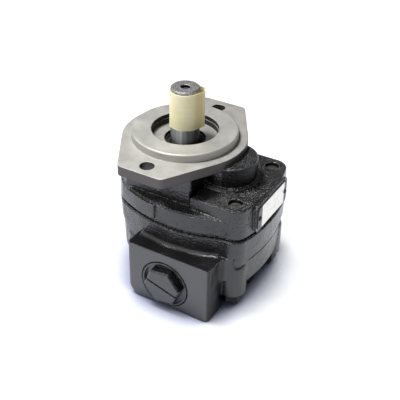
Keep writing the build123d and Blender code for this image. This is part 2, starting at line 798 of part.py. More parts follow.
# Dowel pins between cover and housing
with BuildPart() as dowel_pins:
    with BuildSketch(joint_plane):
        with Locations(dowel_places):
            Circle(dowel_d / 2)
    extrude(amount=dowel_length / 2, both=True)
    chamfer(dowel_pins.edges().filter_by(GeomType.CIRCLE), dowel_chamfer)
dowel_pins.part.label = "dowel_pins"
export_step(dowel_pins.part, "parts/dowel_pins.step")

# Four screws from the rear, which end in the cover's through holes
with BuildPart() as assembly_bolts:
    with BuildSketch(Plane.XY.offset(head_seat_z)):
        with Locations(bolt_middle):
            with GridLocations(bolt_spacing_x, bolt_spacing_y, 2, 2):
                Circle(bolt_d / 2)
    extrude(amount=bolt_tip_z - head_seat_z)
    chamfer(assembly_bolts.edges().group_by(Axis.Z)[-1], bolt_tip_chamfer)
    with BuildSketch(Plane.XY.offset(head_seat_z)):
        with Locations(bolt_middle):
            with GridLocations(bolt_spacing_x, bolt_spacing_y, 2, 2):
                RegularPolygon(bolt_head_af / 2, hexagon_sides, major_radius=False)
    extrude(amount=-bolt_head_h)
    chamfer(assembly_bolts.edges().group_by(Axis.Z)[0], bolt_head_chamfer)
assembly_bolts.part.label = "assembly_bolts"
export_step(assembly_bolts.part, "parts/assembly_bolts.step")

with BuildPart() as bolt_washers:
    with BuildSketch(Plane.XY.offset(head_seat_z)):
        with Locations(bolt_middle):
            with GridLocations(bolt_spacing_x, bolt_spacing_y, 2, 2):
                Circle(washer_d / 2)
                Circle(bolt_hole_d / 2, mode=Mode.SUBTRACT)
    extrude(amount=washer_t)
bolt_washers.part.label = "bolt_washers"
export_step(bolt_washers.part, "parts/bolt_washers.step")


def port_plug(port):
    """A slotted hexagon plug that closes a port, seated on its spotface."""
    seat = port.offset(-port_spotface_depth)
    with BuildPart() as plug:
        with BuildSketch(seat):
            Circle(port_spotface_d / 2 - plug_flange_gap)
        extrude(amount=port_spotface_depth)
        # The head stands in a moat inside the flange's rim
        with BuildSketch(port):
            Circle(port_spotface_d / 2 - plug_flange_gap - plug_rim_w)
        extrude(amount=-plug_moat_depth, mode=Mode.SUBTRACT)
        with BuildSketch(port.offset(-plug_moat_depth)):
            RegularPolygon(plug_head_af / 2, hexagon_sides, major_radius=False, rotation=plug_head_turn)
        extrude(amount=plug_head_h + plug_moat_depth)
        head_face = plug.faces().sort_by(Axis(port.origin, port.z_dir))[-1]
        chamfer(head_face.edges(), plug_head_chamfer)
        with BuildSketch(port.offset(plug_head_h)):
            Rectangle(plug_head_af * 2, plug_slot_w, rotation=plug_slot_turn)
        extrude(amount=-plug_slot_depth, mode=Mode.SUBTRACT)
        with BuildSketch(seat):
            Circle(port_drill_d / 2 - plug_stem_clearance)
        extrude(amount=-plug_stem_length)
    return plug


port_plug_left = port_plug(left_port)
port_plug_left.part.label = "port_plug_left"
export_step(port_plug_left.part, "parts/port_plug_left.step")

port_plug_right = port_plug(right_port)
port_plug_right.part.label = "port_plug_right"
export_step(port_plug_right.part, "parts/port_plug_right.step")

# Seal rings under the flanges of the plugs
with BuildPart() as plug_seals:
    for port in (left_port, right_port):
        with BuildSketch(port.offset(-port_spotface_depth)):
            Circle(port_seal_seat_d / 2 - plug_seal_clearance)
            Circle(port_drill_d / 2, mode=Mode.SUBTRACT)
        extrude(amount=-port_seal_seat_depth)
plug_seals.part.label = "plug_seals"
export_step(plug_seals.part, "parts/plug_seals.step")

# Name plate on its pad, with a rivet near each end
with BuildPart() as name_plate:
    with BuildSketch(plate_plane):
        with Locations(plate_place):
            RectangleRounded(name_plate_w, name_plate_h, name_plate_corner_r)
            with GridLocations(rivet_spacing, 0, 2, 1):
                Circle(rivet_d / 2 + rivet_clearance, mode=Mode.SUBTRACT)
    extrude(amount=name_plate_t)
name_plate.part.label = "name_plate"
export_step(name_plate.part, "parts/name_plate.step")

with BuildPart() as plate_rivets:
    with BuildSketch(plate_plane.offset(name_plate_t)):
        with Locations(plate_place):
            with GridLocations(rivet_spacing, 0, 2, 1):
                Circle(rivet_head_d / 2)
    extrude(amount=rivet_head_h)
    fillet(plate_rivets.edges().group_by(Axis.Y)[0], rivet_head_r)
    with BuildSketch(plate_plane.offset(name_plate_t)):
        with Locations(plate_place):
            with GridLocations(rivet_spacing, 0, 2, 1):
                Circle(rivet_d / 2)
    extrude(amount=-rivet_length)
plate_rivets.part.label = "plate_rivets"
export_step(plate_rivets.part, "parts/plate_rivets.step")
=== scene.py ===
import bpy
import numpy as np
from mathutils import Matrix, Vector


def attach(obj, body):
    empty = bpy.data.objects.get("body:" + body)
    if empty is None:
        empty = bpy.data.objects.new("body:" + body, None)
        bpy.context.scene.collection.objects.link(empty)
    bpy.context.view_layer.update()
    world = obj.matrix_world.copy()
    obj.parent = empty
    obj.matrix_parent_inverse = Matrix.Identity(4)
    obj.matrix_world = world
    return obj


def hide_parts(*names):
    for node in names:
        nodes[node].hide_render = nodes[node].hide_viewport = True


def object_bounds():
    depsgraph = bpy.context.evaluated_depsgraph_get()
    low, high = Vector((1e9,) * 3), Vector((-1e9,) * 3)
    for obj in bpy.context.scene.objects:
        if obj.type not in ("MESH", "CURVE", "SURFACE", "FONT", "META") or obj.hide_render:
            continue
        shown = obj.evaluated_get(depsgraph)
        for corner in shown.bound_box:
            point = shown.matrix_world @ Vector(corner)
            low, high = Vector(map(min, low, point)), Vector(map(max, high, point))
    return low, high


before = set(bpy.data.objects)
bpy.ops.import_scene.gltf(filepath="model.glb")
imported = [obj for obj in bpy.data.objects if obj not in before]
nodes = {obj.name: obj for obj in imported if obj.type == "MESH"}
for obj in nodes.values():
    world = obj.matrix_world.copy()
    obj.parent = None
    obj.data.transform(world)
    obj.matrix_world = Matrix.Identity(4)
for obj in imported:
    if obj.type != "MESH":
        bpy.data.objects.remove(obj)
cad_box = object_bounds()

# Gear housing.
# The lower casting: grey iron poured in green sand, so its skin is grainy. It is painted in a
# thick black enamel that runs round the grains and stands glossy on them.


def linear(code):
    """An sRGB hex colour as linear red, green, blue and alpha: the inverse of the sRGB curve."""
    srgb = np.array([int(code[i : i + 2], 16) for i in (1, 3, 5)]) / 255
    low = srgb / 12.92
    high = ((srgb + 0.055) / 1.055) ** 2.4
    return (*np.where(srgb <= 0.04045, low, high).tolist(), 1.0)


def add_node(material, kind, links=(), stops=(), **settings):
    """Adds a shader node and gives its outputs. Links set its inputs, in order or by name or
    number, to values or to other nodes' outputs. Stops are the positions and hex colours of a
    colour ramp. Settings are the node's properties."""
    made = material.node_tree.nodes.new("ShaderNode" + kind)
    for name, value in settings.items():
        setattr(made, name, value)
    for number, (position, code) in enumerate(stops):
        made.color_ramp.elements[number].position = position
        made.color_ramp.elements[number].color = linear(code)
    for key, value in links.items() if isinstance(links, dict) else enumerate(links):
        if isinstance(value, bpy.types.NodeSocket):
            material.node_tree.links.new(value, made.inputs[key])
        else:
            made.inputs[key].default_value = value
    return made.outputs


def new_material(name):
    """A material with one Principled shader: the material, its shader, its object coordinates."""
    material = bpy.data.materials.new(name)
    material.use_nodes = True
    place = add_node(material, "TexCoord")["Object"]
    return material, material.node_tree.nodes["Principled BSDF"], place


def feed(shader, **inputs):
    """Sets or links a shader's inputs. An underscore stands for the space in an input's name."""
    for name, value in inputs.items():
        socket = shader.inputs[name.replace("_", " ")]
        if isinstance(value, bpy.types.NodeSocket):
            shader.id_data.links.new(value, socket)
        else:
            socket.default_value = value


def relief(material, height, edge_r=0.0):
    """A normal from a height in mm, over edges that look rounded to a radius in metres."""
    links = {"Height": height, "Distance": 0.001}
    if edge_r:
        links["Normal"] = add_node(material, "Bevel", (edge_r,), samples=4)[0]
    return add_node(material, "Bump", links)[0]


def dress(material, *names):
    """Gives carried-over pieces their material."""
    for name in names:
        nodes[name].data.materials.clear()
        nodes[name].data.materials.append(material)


def sand_cast_enamel(material, place):
    """Black enamel over sand-cast iron: its colour, its roughness and its height in mm."""
    # Grains of 1.4 and 0.8 mm, in rougher and smoother patches of 15 mm, on a skin that swells
    # every 22 mm
    grain = add_node(material, "TexNoise", {"Vector": place, "Scale": 700.0, "Detail": 1.0})[0]
    fine = add_node(material, "TexNoise", {"Vector": place, "Scale": 1250.0})[0]
    patches = add_node(material, "TexNoise", {"Vector": place, "Scale": 66.0})[0]
    patch = add_node(material, "MapRange", (patches, 0.35, 0.65, 0.4, 1.0))[0]
    swell = add_node(material, "TexNoise", {"Vector": place, "Scale": 45.0, "Detail": 1.0})[0]
    # Faces that lay upwards in the mould are rougher than the drafted walls
    true_normal = add_node(material, "NewGeometry")["True Normal"]
    facing_z = add_node(material, "SeparateXYZ", (true_normal,))["Z"]
    upward = add_node(material, "MapRange", (facing_z, 0.2, 0.7))[0]
    # The port block's top and flanks, low down and cast against a core, are nearly smooth
    spot = add_node(material, "SeparateXYZ", (place,))
    off_middle = add_node(material, "Math", (spot["X"],), operation="ABSOLUTE")[0]
    aside = add_node(material, "MapRange", (off_middle, 0.036, 0.044))[0]
    low = add_node(material, "MapRange", (spot["Z"], -0.062, -0.066, 0.0, 0.85))[0]
    on_block = add_node(material, "Math", (aside, low), operation="MULTIPLY")[0]
    off_block = add_node(material, "Math", (1.0, on_block), operation="SUBTRACT")[0]
    upward = add_node(material, "Math", (upward, off_block), operation="MULTIPLY")[0]
    block_share = add_node(material, "Mix", {0: off_block, 2: 0.45, 3: 1.0})[0]
    patch = add_node(material, "Math", (patch, block_share), operation="MULTIPLY")[0]
    wall_share = add_node(material, "Mix", {0: upward, 2: 0.44, 3: 1.0})[0]
    rough_share = add_node(material, "Math", (patch, wall_share), operation="MULTIPLY")[0]
    tall = add_node(material, "Math", (grain, 1.5), operation="MULTIPLY")[0]
    lumps = add_node(material, "Math", (tall, rough_share), operation="MULTIPLY")[0]
    fine_share = add_node(material, "Math", (upward, 0.5, 0.1), operation="MULTIPLY_ADD")[0]
    lumps = add_node(material, "Math", (fine, fine_share, lumps), operation="MULTIPLY_ADD")[0]
    height = add_node(material, "Math", (swell, 1.6, lumps), operation="MULTIPLY_ADD")[0]
    stops = ((0.4, "#070709"), (0.72, "#1b1b1d"))
    colour = add_node(material, "ValToRGB", (grain,), stops)[0]
    # Painted sheen: on the faces that lie upwards the tips of the grains are painted grey, for
    # the lamp overhead caught on each grain
    tips = add_node(material, "MapRange", (fine, 0.54, 0.66))[0]
    upward_patches = add_node(material, "Math", (upward, patch), operation="MULTIPLY")[0]
    grain_tip_sheen = add_node(material, "Math", (tips, upward_patches), operation="MULTIPLY")[0]
    grey = linear("#727273")
    colour = add_node(material, "Mix", {0: grain_tip_sheen, 6: colour, 7: grey}, data_type="RGBA")[2]
    # Painted highlight: edges that face upwards are painted a lighter grey in a broken line, for
    # the lamp caught along their rims
    rounded = add_node(material, "Bevel", (0.0012,), samples=6)[0]
    smooth = add_node(material, "NewGeometry")["Normal"]
    turned = add_node(material, "VectorMath", (rounded, smooth), operation="DOT_PRODUCT")["Value"]
    edge = add_node(material, "MapRange", (turned, 0.97, 0.86))[0]
    rounded_z = add_node(material, "SeparateXYZ", (rounded,))["Z"]
    lifted = add_node(material, "MapRange", (rounded_z, 0.25, 0.5))[0]
    broken = add_node(material, "MapRange", (grain, 0.46, 0.58))[0]
    rim_highlight = add_node(material, "Math", (edge, lifted), operation="MULTIPLY")[0]
    rim_highlight = add_node(material, "Math", (rim_highlight, broken), operation="MULTIPLY")[0]
    grey = linear("#a2a2a3")
    colour = add_node(material, "Mix", {0: rim_highlight, 6: colour, 7: grey}, data_type="RGBA")[2]
    rough = add_node(material, "MapRange", (fine, 0.3, 0.7, 0.12, 0.26))[0]
    return colour, rough, height


enamel, shader, place = new_material("black_enamel_on_sand_cast_iron")
colour, rough, height = sand_cast_enamel(enamel, place)
spot = add_node(enamel, "SeparateXYZ", (place,))
# The mould's joint left a level groove across the idler's end, from one screw's foot to past the
# other
off_joint = add_node(enamel, "Math", (spot["Z"], 0.0735), operation="ADD")[0]
off_joint = add_node(enamel, "Math", (off_joint,), operation="ABSOLUTE")[0]
groove = add_node(enamel, "MapRange", (off_joint, 0.0009, 0.0003))[0]
at_end = add_node(enamel, "MapRange", (spot["Y"], -0.066, -0.068))[0]
past_foot = add_node(enamel, "MapRange", (spot["X"], -0.029, -0.024))[0]
on_end = add_node(enamel, "Math", (at_end, past_foot), operation="MULTIPLY")[0]
groove = add_node(enamel, "Math", (groove, on_end), operation="MULTIPLY")[0]
height = add_node(enamel, "Math", (groove, -0.6, height), operation="MULTIPLY_ADD")[0]
groove_links = {0: groove, 6: colour, 7: linear("#040405")}
colour = add_node(enamel, "Mix", groove_links, data_type="RGBA")[2]
# Painted shade: the port block's flank towards the idler's end is given a lower IOR so that it
# reflects less, as if the floor it mirrors lay in shadow
true_normal = add_node(enamel, "NewGeometry")["True Normal"]
facing_y = add_node(enamel, "SeparateXYZ", (true_normal,))["Y"]
shaded_flank = add_node(enamel, "MapRange", (facing_y, -0.6, -0.85, 0.0, 0.6))[0]
low = add_node(enamel, "MapRange", (spot["Z"], -0.065, -0.068))[0]
shaded_flank = add_node(enamel, "Math", (shaded_flank, low), operation="MULTIPLY")[0]
off_middle = add_node(enamel, "Math", (spot["X"],), operation="ABSOLUTE")[0]
aside = add_node(enamel, "MapRange", (off_middle, 0.042, 0.044))[0]
shaded_flank = add_node(enamel, "Math", (shaded_flank, aside), operation="MULTIPLY")[0]
dull = add_node(enamel, "Math", (groove, shaded_flank), operation="MAXIMUM")[0]
# The port faces are milled before painting, so the enamel lies smooth and thick on them, with an
# orange peel of 1.2 mm
milled = add_node(enamel, "MapRange", (off_middle, 0.0622, 0.0628))[0]
peel = add_node(enamel, "TexNoise", {"Vector": place, "Scale": 850.0})[0]
milled_height = add_node(enamel, "Math", (peel, 0.22), operation="MULTIPLY")[0]
housing_height = add_node(enamel, "Mix", {0: milled, 2: height, 3: milled_height})[0]
milled_links = {0: milled, 6: colour, 7: linear("#19191b")}
# The milled faces take a higher IOR, and the groove and the painted shade on the flank take a
# lower one
milled_and_dulled = add_node(enamel, "Math", (milled, dull), operation="MAXIMUM")[0]
milled_and_dulled_ior = add_node(enamel, "Mix", {0: milled, 2: 1.2, 3: 1.9})[0]
feed(
    shader,
    Base_Color=add_node(enamel, "Mix", milled_links, data_type="RGBA")[2],
    Roughness=add_node(enamel, "Mix", {0: milled, 2: rough, 3: 0.24})[0],
    Normal=relief(enamel, housing_height, 0.0013),
    IOR=add_node(enamel, "Mix", {0: milled_and_dulled, 2: 1.66, 3: milled_and_dulled_ior})[0],
)
dress(enamel, "gear_housing")

# Front cover.
# The upper casting, in the same iron and enamel. Its flange, pilot and recess are turned bare
# in one chucking, which leaves a satin face with rings too fine to count.

cover_skin, shader, place = new_material("enamelled_iron_with_turned_flange")
paint_colour, paint_rough, paint_height = sand_cast_enamel(cover_skin, place)
spot = add_node(cover_skin, "SeparateXYZ", (place,))
flat_place = add_node(cover_skin, "CombineXYZ", (spot["X"], spot["Y"]))[0]
radius = add_node(cover_skin, "VectorMath", (flat_place,), operation="LENGTH")["Value"]
# Bare above the flange's lower edge, but for the boss and the back wall that stand out beside
# the flange
above = add_node(cover_skin, "MapRange", (spot["Z"], -0.00795, -0.00785))[0]
beside = add_node(cover_skin, "Math", (radius, 0.0486), operation="GREATER_THAN")[0]
off_middle = add_node(cover_skin, "Math", (spot["X"],), operation="ABSOLUTE")[0]
across = add_node(cover_skin, "Math", (off_middle, 0.0245), operation="LESS_THAN")[0]
on_boss = add_node(cover_skin, "Math", (beside, across), operation="MULTIPLY")[0]
off_boss = add_node(cover_skin, "Math", (1.0, on_boss), operation="SUBTRACT")[0]
bare = add_node(cover_skin, "Math", (above, off_boss), operation="MULTIPLY")[0]
true_normal = add_node(cover_skin, "NewGeometry")["True Normal"]
facing_z = add_node(cover_skin, "SeparateXYZ", (true_normal,))["Z"]
level = add_node(cover_skin, "MapRange", (facing_z, 0.3, 0.9))[0]
# Turning rings: the tool's real feed is 0.15 mm, drawn at 0.6 mm so that it shows
ring_angle = add_node(cover_skin, "Math", (radius, 10400.0), operation="MULTIPLY")[0]
rings = add_node(cover_skin, "Math", (ring_angle,), operation="SINE")[0]
# Stains of 13 mm from hands and oil
stain_links = {"Vector": place, "Scale": 75.0, "Detail": 5.0, "Roughness": 0.6}
stain = add_node(cover_skin, "TexNoise", stain_links)[0]
face_stops = ((0.3, "#c4c2bc"), (0.75, "#d9d8d2"))
face_colour = add_node(cover_skin, "ValToRGB", (stain,), face_stops)[0]
# Painted shade: its upright faces are coloured darker than its level ones, the flange's rim a
# dark grey, the pilot's rim a lighter grey and the recess's wall near black
above_face = add_node(cover_skin, "MapRange", (spot["Z"], -0.0002, 0.0002))[0]
in_recess = add_node(cover_skin, "Math", (radius, 0.032), operation="LESS_THAN")[0]
rim_links = {0: above_face, 6: linear("#605d5b"), 7: linear("#aaa7a3")}
rim_colour = add_node(cover_skin, "Mix", rim_links, data_type="RGBA")[2]
recess_links = {0: in_recess, 6: rim_colour, 7: linear("#2b2a2a")}
rim_colour = add_node(cover_skin, "Mix", recess_links, data_type="RGBA")[2]
metal_links = {0: level, 6: rim_colour, 7: face_colour}
metal_colour = add_node(cover_skin, "Mix", metal_links, data_type="RGBA")[2]
metal_rough = add_node(cover_skin, "MapRange", (stain, 0.3, 0.7, 0.5, 0.57))[0]
metal_height = add_node(cover_skin, "Math", (rings, 0.002), operation="MULTIPLY")[0]
cover_height = add_node(cover_skin, "Mix", {0: bare, 2: paint_height, 3: metal_height})[0]
# Painted shade: the boss's upright wall close under the flange, on the idler's side, is given a
# lower IOR so that it reflects less
under_rim = add_node(cover_skin, "MapRange", (spot["Z"], -0.0232, -0.0225))[0]
shaded_boss_wall = add_node(cover_skin, "Math", (under_rim, on_boss), operation="MULTIPLY")[0]
idler_side = add_node(cover_skin, "Math", (spot["Y"], 0.0), operation="LESS_THAN")[0]
shaded_boss_wall = add_node(cover_skin, "Math", (shaded_boss_wall, idler_side), operation="MULTIPLY")[0]
upright = add_node(cover_skin, "MapRange", (facing_z, 0.4, 0.1))[0]
dull = add_node(cover_skin, "Math", (shaded_boss_wall, upright), operation="MULTIPLY")[0]
cover_links = {0: bare, 6: paint_colour, 7: metal_colour}
feed(
    shader,
    Base_Color=add_node(cover_skin, "Mix", cover_links, data_type="RGBA")[2],
    Metallic=add_node(cover_skin, "Math", (bare, 0.78), operation="MULTIPLY")[0],
    Roughness=add_node(cover_skin, "Mix", {0: bare, 2: paint_rough, 3: metal_rough})[0],
    Normal=relief(cover_skin, cover_height, 0.0011),
    IOR=add_node(cover_skin, "Mix", {0: dull, 2: 1.68, 3: 1.3})[0],
)
dress(cover_skin, "front_cover")

# Gears and shafts.
# Drive shaft and idler: case-hardened steel, ground round on the journals and the keyed end, so
# light runs along them in upright streaks. The drive shaft's end face is left dark from
# hardening, with specks of scale.

ground_steel, shader, place = new_material("ground_case_hardened_steel")
spot = add_node(ground_steel, "SeparateXYZ", (place,))
# Grinding marks run round the shaft: a few hundredths of a millimetre apart, drawn at 0.2 mm
marks_scale = {"Vector": place, "Scale": (40.0, 40.0, 5200.0)}
marks_place = add_node(ground_steel, "Mapping", marks_scale)[0]
marks_links = {"Vector": marks_place, "Scale": 1.0, "Detail": 3.0}
marks = add_node(ground_steel, "TexNoise", marks_links)[0]
# Painted reflection: the steel's colour is lighter and darker in upright streaks of 2.4 mm, like
# the streaks of light along a ground shaft
streak_scale = {"Vector": place, "Scale": (420.0, 420.0, 25.0)}
streak_place = add_node(ground_steel, "Mapping", streak_scale)[0]
painted_streaks = add_node(ground_steel, "TexNoise", {"Vector": streak_place, "Scale": 1.0})[0]
# Specks of scale of 0.8 mm on the end face
speck_links = {"Vector": place, "Scale": 1300.0, "Detail": 3.0, "Roughness": 0.7}
specks = add_node(ground_steel, "TexNoise", speck_links)[0]
end_face = add_node(ground_steel, "MapRange", (spot["Z"], 0.0389, 0.0391))[0]
speck_stops = ((0.36, "#635f5f"), (0.66, "#cbc8c7"))
speck_colour = add_node(ground_steel, "ValToRGB", (specks,), speck_stops)[0]
# The mouth of the tapped hole in the end is coloured near black
flat_place = add_node(ground_steel, "CombineXYZ", (spot["X"], spot["Y"]))[0]
radius = add_node(ground_steel, "VectorMath", (flat_place,), operation="LENGTH")["Value"]
in_hole = add_node(ground_steel, "Math", (radius, 0.0036), operation="LESS_THAN")[0]
hole_mouth = add_node(ground_steel, "Math", (end_face, in_hole), operation="MULTIPLY")[0]
hole_mouth_links = {0: hole_mouth, 6: speck_colour, 7: linear("#1c1b1b")}
end_colour = add_node(ground_steel, "Mix", hole_mouth_links, data_type="RGBA")[2]
steel_stops = ((0.3, "#9b9da3"), (0.7, "#c9cace"))
steel_colour = add_node(ground_steel, "ValToRGB", (painted_streaks,), steel_stops)[0]
steel_links = {0: end_face, 6: steel_colour, 7: end_colour}
steel_rough = add_node(ground_steel, "MapRange", (marks, 0.3, 0.7, 0.36, 0.44))[0]
marks_height = add_node(ground_steel, "Math", (marks, 0.0012), operation="MULTIPLY")[0]
end_height = add_node(ground_steel, "Math", (specks, 0.06), operation="MULTIPLY")[0]
steel_height = add_node(ground_steel, "Mix", {0: end_face, 2: marks_height, 3: end_height})[0]
off_end = add_node(ground_steel, "Math", (1.0, end_face), operation="SUBTRACT")[0]
feed(
    shader,
    Base_Color=add_node(ground_steel, "Mix", steel_links, data_type="RGBA")[2],
    Roughness=add_node(ground_steel, "Mix", {0: end_face, 2: steel_rough, 3: 0.6})[0],
    Normal=relief(ground_steel, steel_height),
    Metallic=1.0,
    Anisotropic=add_node(ground_steel, "Math", (off_end, 0.95), operation="MULTIPLY")[0],
    Anisotropic_Rotation=0.25,
    Tangent=add_node(ground_steel, "Tangent", direction_type="RADIAL", axis="Z")[0],
)
dress(ground_steel, "drive_gear_shaft", "idler_gear_shaft")

# Key.
# A square key of cold-drawn bar, cut to length and pressed into the keyway. Drawing leaves fine
# bright lines along it.

drawn_steel, shader, place = new_material("cold_drawn_key_steel")
# The lines are drawn 0.3 mm apart so that they show
lines_scale = {"Vector": place, "Scale": (3000.0, 3000.0, 60.0)}
lines_place = add_node(drawn_steel, "Mapping", lines_scale)[0]
lines_links = {"Vector": lines_place, "Scale": 1.0, "Detail": 3.0}
lines = add_node(drawn_steel, "TexNoise", lines_links)[0]
lines_height = add_node(drawn_steel, "Math", (lines, 0.01), operation="MULTIPLY")[0]
key_stops = ((0.3, "#8d8d8e"), (0.7, "#b3b3b2"))
feed(
    shader,
    Base_Color=add_node(drawn_steel, "ValToRGB", (lines,), key_stops)[0],
    Metallic=1.0,
    Roughness=add_node(drawn_steel, "MapRange", (lines, 0.3, 0.7, 0.3, 0.45))[0],
    Normal=relief(drawn_steel, lines_height, 0.0003),
)
dress(drawn_steel, "shaft_key")

# Transport sleeve.
# A thin moulded sleeve of natural polyethylene, slipped over the shaft and its key. Light goes
# some way into it. It is ribbed by the mould, and its ends are trimmed by hand.

sleeve_low, sleeve_high = 0.0094, 0.0393
sleeve_clear, sleeve_wall = 0.00015, 0.0008
shaft_r, key_face, key_half = 0.01111, 0.01389, 0.003175
key_turn = np.radians(-59.0)
end_share = 12
trim_depth, trim_wander = 0.00023, 0.00011
rib_height, rib_pitch = 0.00005, 0.00105
ribs_fade, ribs_end = 0.012, 0.026


def sleeve_surface(around, profile):
    """Points of the sleeve: its core is a disc and the key's two outer corners, wrapped tight. At
    each direction the point of the core that reaches farthest that way is moved out by the
    profile's distance, so straight runs and rounds join smoothly."""
    turn = np.linspace(0, 2 * np.pi, around, endpoint=False)
    out = np.stack([np.cos(turn), np.sin(turn)], 1)
    corner_side = key_half * np.sign(out[:, 1] + 1e-9)
    corner = np.stack([np.full(around, key_face), corner_side], 1)
    on_corner = (corner * out).sum(1) > shaft_r
    core = np.where(on_corner[:, None], corner, shaft_r * out)
    flat = core[None] + profile[:, 0][:, None, None] * out[None]
    x = flat[..., 0] * np.cos(key_turn) - flat[..., 1] * np.sin(key_turn)
    y = flat[..., 0] * np.sin(key_turn) + flat[..., 1] * np.cos(key_turn)
    # The trimmed ends wander by a fifth of a millimetre, over a twelfth of the half length
    waves = np.sin(3 * turn + 0.6) + 0.6 * np.sin(7 * turn) + 0.5 * np.sin(17 * turn + 2.0)
    wander = trim_wander * waves
    middle_z = (sleeve_low + sleeve_high) / 2
    off_middle_z = np.abs(profile[:, 1] - middle_z) / (middle_z - sleeve_low)
    near_end = np.clip(off_middle_z * end_share - (end_share - 1), 0, 1)
    inward = -np.sign(profile[:, 1] - middle_z) * near_end
    z = profile[:, 1][:, None] + inward[:, None] * (trim_depth + wander[None])
    return np.stack([x, y, z], 2)


def grid_object(name, points):
    """A mesh object from a grid of points that closes on itself both ways, so that each point is
    joined to the next one in its row and in its column."""
    rows, columns = points.shape[:2]
    index = np.arange(rows * columns).reshape(rows, columns)
    index = np.vstack([index, index[:1]])
    index = np.hstack([index, index[:, :1]])
    corners = [index[:-1, :-1], index[:-1, 1:], index[1:, 1:], index[1:, :-1]]
    faces = np.stack(corners, 2).reshape(-1, 4)
    mesh = bpy.data.meshes.new(name)
    mesh.from_pydata(points.reshape(-1, 3).tolist(), [], faces.tolist())
    mesh.polygons.foreach_set("use_smooth", np.ones(len(faces), bool))
    mesh.update()
    made = bpy.data.objects.new(name, mesh)
    bpy.context.scene.collection.objects.link(made)
    return made


# The wall's profile: up the outside, over a rounded lip, down the inside, round the foot
lip = np.linspace(0, np.pi, 9)
lip_r = sleeve_wall / 2
middle = sleeve_clear + lip_r
rise = np.linspace(sleeve_low + lip_r, sleeve_high - lip_r, 110)
rib_share = np.clip((ribs_end - rise) / ribs_fade, 0.15, 1)
rib = rib_height * np.sin(2 * np.pi * rise / rib_pitch) * rib_share
outside = np.stack([np.full(rise.size, middle + lip_r) - rib_height + rib, rise], 1)
lip_out, lip_up = lip_r * np.cos(lip), lip_r * np.sin(lip)
top_lip = np.stack([middle + lip_out, sleeve_high - lip_r + lip_up], 1)
inside = np.stack([np.full(rise.size, middle - lip_r), rise[::-1]], 1)
foot_lip = np.stack([middle - lip_out, sleeve_low + lip_r - lip_up], 1)
profile = np.vstack([outside, top_lip, inside, foot_lip])
sleeve = grid_object("transport_sleeve", sleeve_surface(240, profile))

# Clouds of 9 mm in the plastic, and bands of 1.1 mm round it with the ribs
polyethylene, shader, place = new_material("natural_moulded_polyethylene")
cloud_links = {"Vector": place, "Scale": 110.0, "Detail": 3.0}
cloud = add_node(polyethylene, "TexNoise", cloud_links)[0]
band_scale = {"Vector": place, "Scale": (30.0, 30.0, 900.0)}
band_place = add_node(polyethylene, "Mapping", band_scale)[0]
band_links = {"Vector": band_place, "Scale": 1.0, "Detail": 3.0}
bands = add_node(polyethylene, "TexNoise", band_links)[0]
band_share = add_node(polyethylene, "MapRange", (bands, 0.35, 0.65, 0.0, 0.3))[0]
cloud_stops = ((0.3, "#f6e9bb"), (0.7, "#fdf2cb"))
cloud_colour = add_node(polyethylene, "ValToRGB", (cloud,), cloud_stops)[0]
plain_links = {0: band_share, 6: cloud_colour, 7: linear("#e4d398")}
plain_colour = add_node(polyethylene, "Mix", plain_links, data_type="RGBA")[2]
# Beside the key, on the side away from the lamp, the wall is painted tan: painted shade, with the
# deeper tint of plastic that stands off the shaft with no steel close behind it
level_only = (place, (1.0, 1.0, 0.0))
outward = add_node(polyethylene, "VectorMath", level_only, operation="MULTIPLY")[0]
outward = add_node(polyethylene, "VectorMath", (outward,), operation="NORMALIZE")[0]
key_way = (float(np.cos(key_turn)), float(np.sin(key_turn)), 0.0)
key_links = (outward, key_way)
to_key = add_node(polyethylene, "VectorMath", key_links, operation="DOT_PRODUCT")["Value"]
off_shaft = add_node(polyethylene, "MapRange", (to_key, 0.5, 0.72))[0]
off_key = add_node(polyethylene, "MapRange", (to_key, 0.985, 0.9))[0]
stood_off = add_node(polyethylene, "Math", (off_shaft, off_key), operation="MULTIPLY")[0]
tan_shade_share = add_node(polyethylene, "Math", (stood_off, 0.7), operation="MULTIPLY")[0]
tan_links = {0: tan_shade_share, 6: plain_colour, 7: linear("#dcc683")}
band_height = add_node(polyethylene, "Math", (bands, 0.05), operation="MULTIPLY")[0]
feed(
    shader,
    Base_Color=add_node(polyethylene, "Mix", tan_links, data_type="RGBA")[2],
    Roughness=0.38,
    Normal=relief(polyethylene, band_height),
    Subsurface_Weight=0.35,
    Subsurface_Radius=(0.0026, 0.002, 0.0011),
    Subsurface_Scale=1.0,
)
sleeve.data.materials.append(polyethylene)
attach(sleeve, "protector")
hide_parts("shaft_protector")

# Shaft seal.
# A drawn steel case with a moulded nitrile lip, and a garter spring round the lip: a close coil
# of music wire whose ends are screwed together into a ring.

# Phosphate leaves the case dull, in dark blotches of 2.5 mm
case_steel, shader, place = new_material("phosphated_seal_case_steel")
blotch_links = {"Vector": place, "Scale": 400.0, "Detail": 4.0, "Roughness": 0.6}
blotch = add_node(case_steel, "TexNoise", blotch_links)[0]
blotch_height = add_node(case_steel, "Math", (blotch, 0.02), operation="MULTIPLY")[0]
case_stops = ((0.3, "#2c2d2f"), (0.7, "#4a4b4c"))
feed(
    shader,
    Base_Color=add_node(case_steel, "ValToRGB", (blotch,), case_stops)[0],
    Metallic=0.7,
    Roughness=add_node(case_steel, "MapRange", (blotch, 0.3, 0.7, 0.38, 0.58))[0],
    Normal=relief(case_steel, blotch_height, 0.0003),
)
dress(case_steel, "seal_case")

